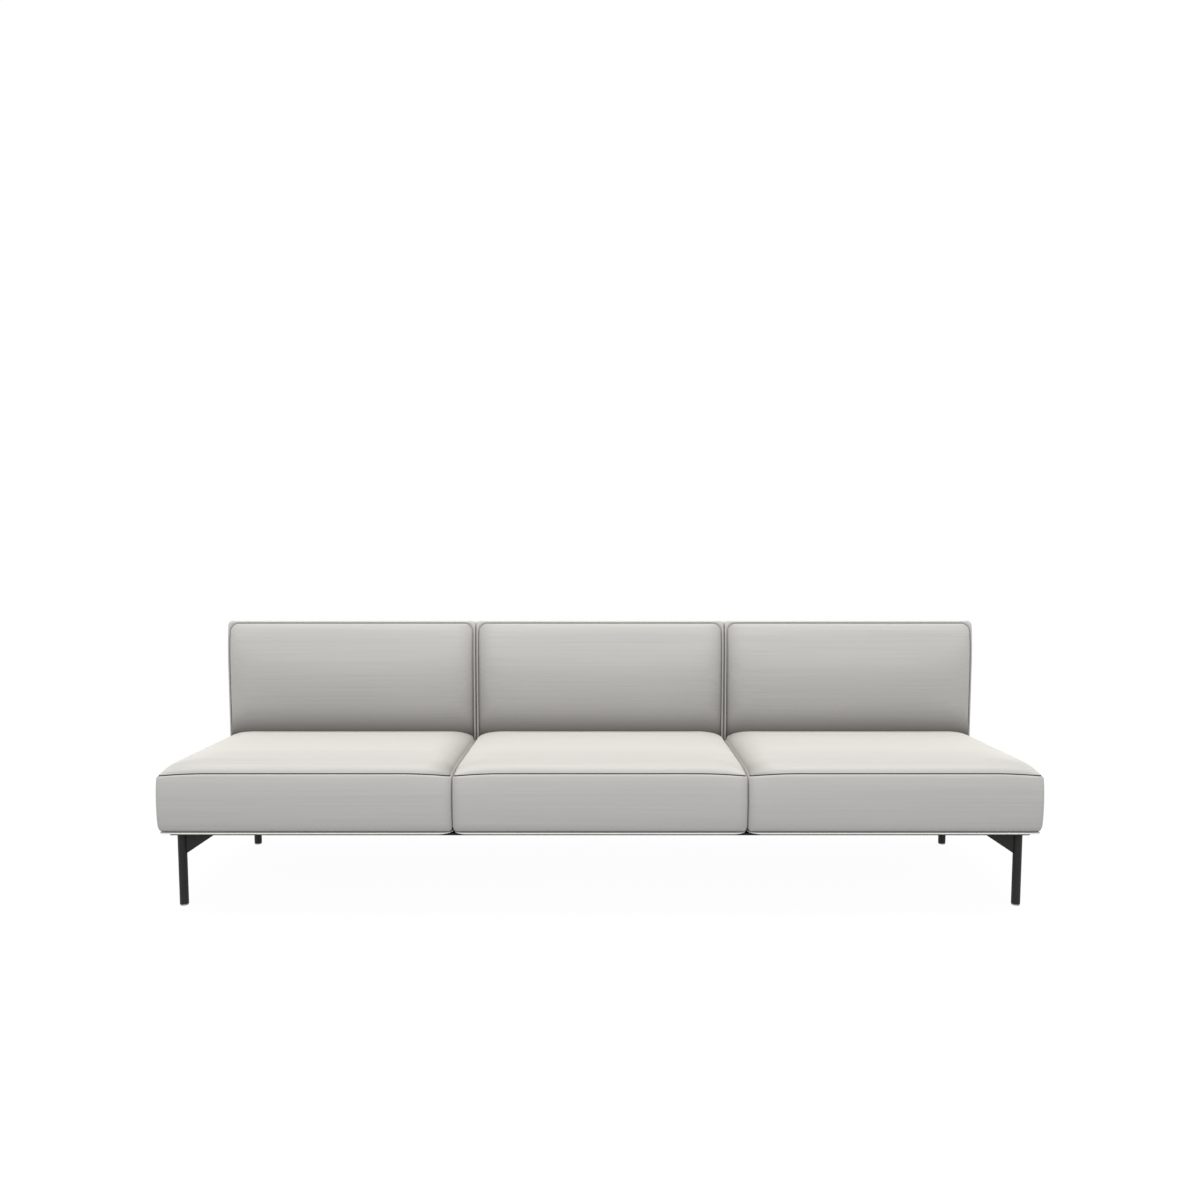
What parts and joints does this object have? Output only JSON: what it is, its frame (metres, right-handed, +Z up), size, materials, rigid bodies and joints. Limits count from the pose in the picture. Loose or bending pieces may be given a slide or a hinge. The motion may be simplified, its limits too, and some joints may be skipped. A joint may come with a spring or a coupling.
{
  "type": "armless modular sofa",
  "caption": "Armless upholstered sofa with separate seat and back modules side by side on a slim black steel underframe with round end legs.",
  "frame": {"origin": "on the floor, under the middle of the bounding box", "axes": "+X runs along the sofa to the right as the picture shows it, +Y from the seat fronts to the backs, +Z up"},
  "size_m": [2.578, 0.676, 0.8204],
  "materials": {
    "upholstery": "matt woven, light warm grey",
    "foam": "open-cell foam",
    "wood": "raw",
    "webbing": "elastic webbing",
    "black_board": "matt black",
    "black_steel": "fine matt powder coat",
    "grey_foot": "matt",
    "black_plastic": "matt"
  },
  "bodies": {
    "sofa": {"left_seat_cover": "upholstery", "left_seat_foam": "foam", "left_seat_frame": "wood", "left_seat_webbing": "webbing", "left_seat_board": "black_board", "left_back_cover": "upholstery", "left_back_foam": "foam", "left_back_frame": "wood", "left_back_webbing": "webbing", "left_back_board": "black_board", "left_back_uprights": "black_steel", "middle_seat_cover": "upholstery", "middle_seat_foam": "foam", "middle_seat_frame": "wood", "middle_seat_webbing": "webbing", "middle_seat_board": "black_board", "middle_back_cover": "upholstery", "middle_back_foam": "foam", "middle_back_frame": "wood", "middle_back_webbing": "webbing", "middle_back_board": "black_board", "middle_back_uprights": "black_steel", "right_seat_cover": "upholstery", "right_seat_foam": "foam", "right_seat_frame": "wood", "right_seat_webbing": "webbing", "right_seat_board": "black_board", "right_back_cover": "upholstery", "right_back_foam": "foam", "right_back_frame": "wood", "right_back_webbing": "webbing", "right_back_board": "black_board", "right_back_uprights": "black_steel", "front_beam": "black_steel", "rear_beam": "black_steel", "left_end_rail": "black_steel", "right_end_rail": "black_steel", "left_end_plate": "black_steel", "right_end_plate": "black_steel", "left_joint_plate": "black_steel", "right_joint_plate": "black_steel", "front_left_leg": "black_steel", "front_left_gusset": "black_steel", "front_right_leg": "black_steel", "front_right_gusset": "black_steel", "rear_left_leg": "black_steel", "rear_left_gusset": "black_steel", "rear_right_leg": "black_steel", "rear_right_gusset": "black_steel", "leg_plugs": "black_plastic"},
    "front_left_foot": {"front_left_glide": "grey_foot"},
    "front_right_foot": {"front_right_glide": "grey_foot"},
    "rear_left_foot": {"rear_left_glide": "grey_foot"},
    "rear_right_foot": {"rear_right_glide": "grey_foot"}
  },
  "joints": [
    {"name": "front_left_level", "type": "slide", "parent": "sofa", "child": "front_left_foot", "axis": [0, 0, -1], "range_m": [0, 0.01]},
    {"name": "front_right_level", "type": "slide", "parent": "sofa", "child": "front_right_foot", "axis": [0, 0, -1], "range_m": [0, 0.01]},
    {"name": "rear_left_level", "type": "slide", "parent": "sofa", "child": "rear_left_foot", "axis": [0, 0, -1], "range_m": [0, 0.01]},
    {"name": "rear_right_level", "type": "slide", "parent": "sofa", "child": "rear_right_foot", "axis": [0, 0, -1], "range_m": [0, 0.01]}
  ]
}
